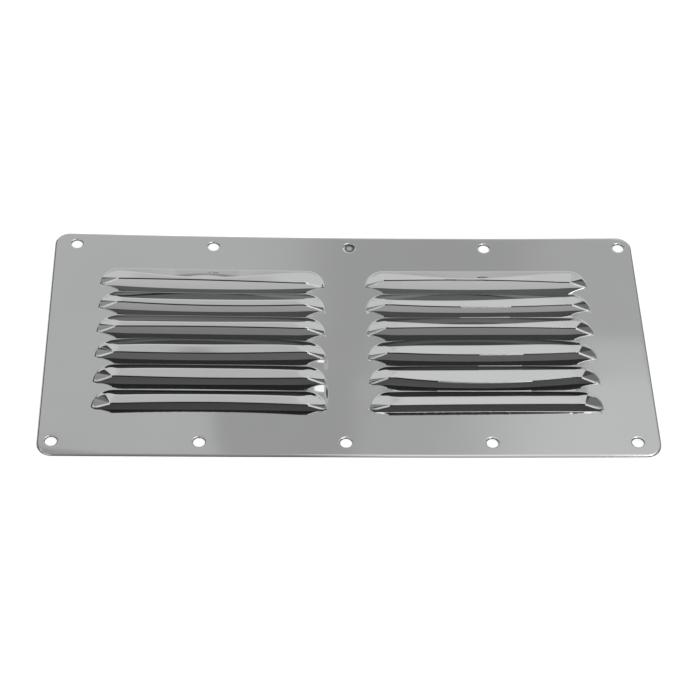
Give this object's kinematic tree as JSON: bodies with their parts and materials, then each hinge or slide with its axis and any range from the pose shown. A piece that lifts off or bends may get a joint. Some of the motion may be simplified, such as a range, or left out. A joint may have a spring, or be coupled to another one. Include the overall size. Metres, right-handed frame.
{
  "type": "louvred vent grille",
  "caption": "Flat rectangular vent plate with rounded corners, pressed hooded louvres in two columns and a row of screw holes along each long side.",
  "frame": {"origin": "middle of the plate's flat back face", "axes": "+X along the long side, +Y across the plate from the mouths of the louvres to the backs of their hoods, +Z out of the front face"},
  "size_m": [0.26, 0.125, 0.0046],
  "materials": {
    "bright_steel": "bright polished stainless sheet, smooth and mirror-like with slight waviness"
  },
  "bodies": {
    "root": {"louvre_plate": "bright_steel"}
  },
  "joints": []
}
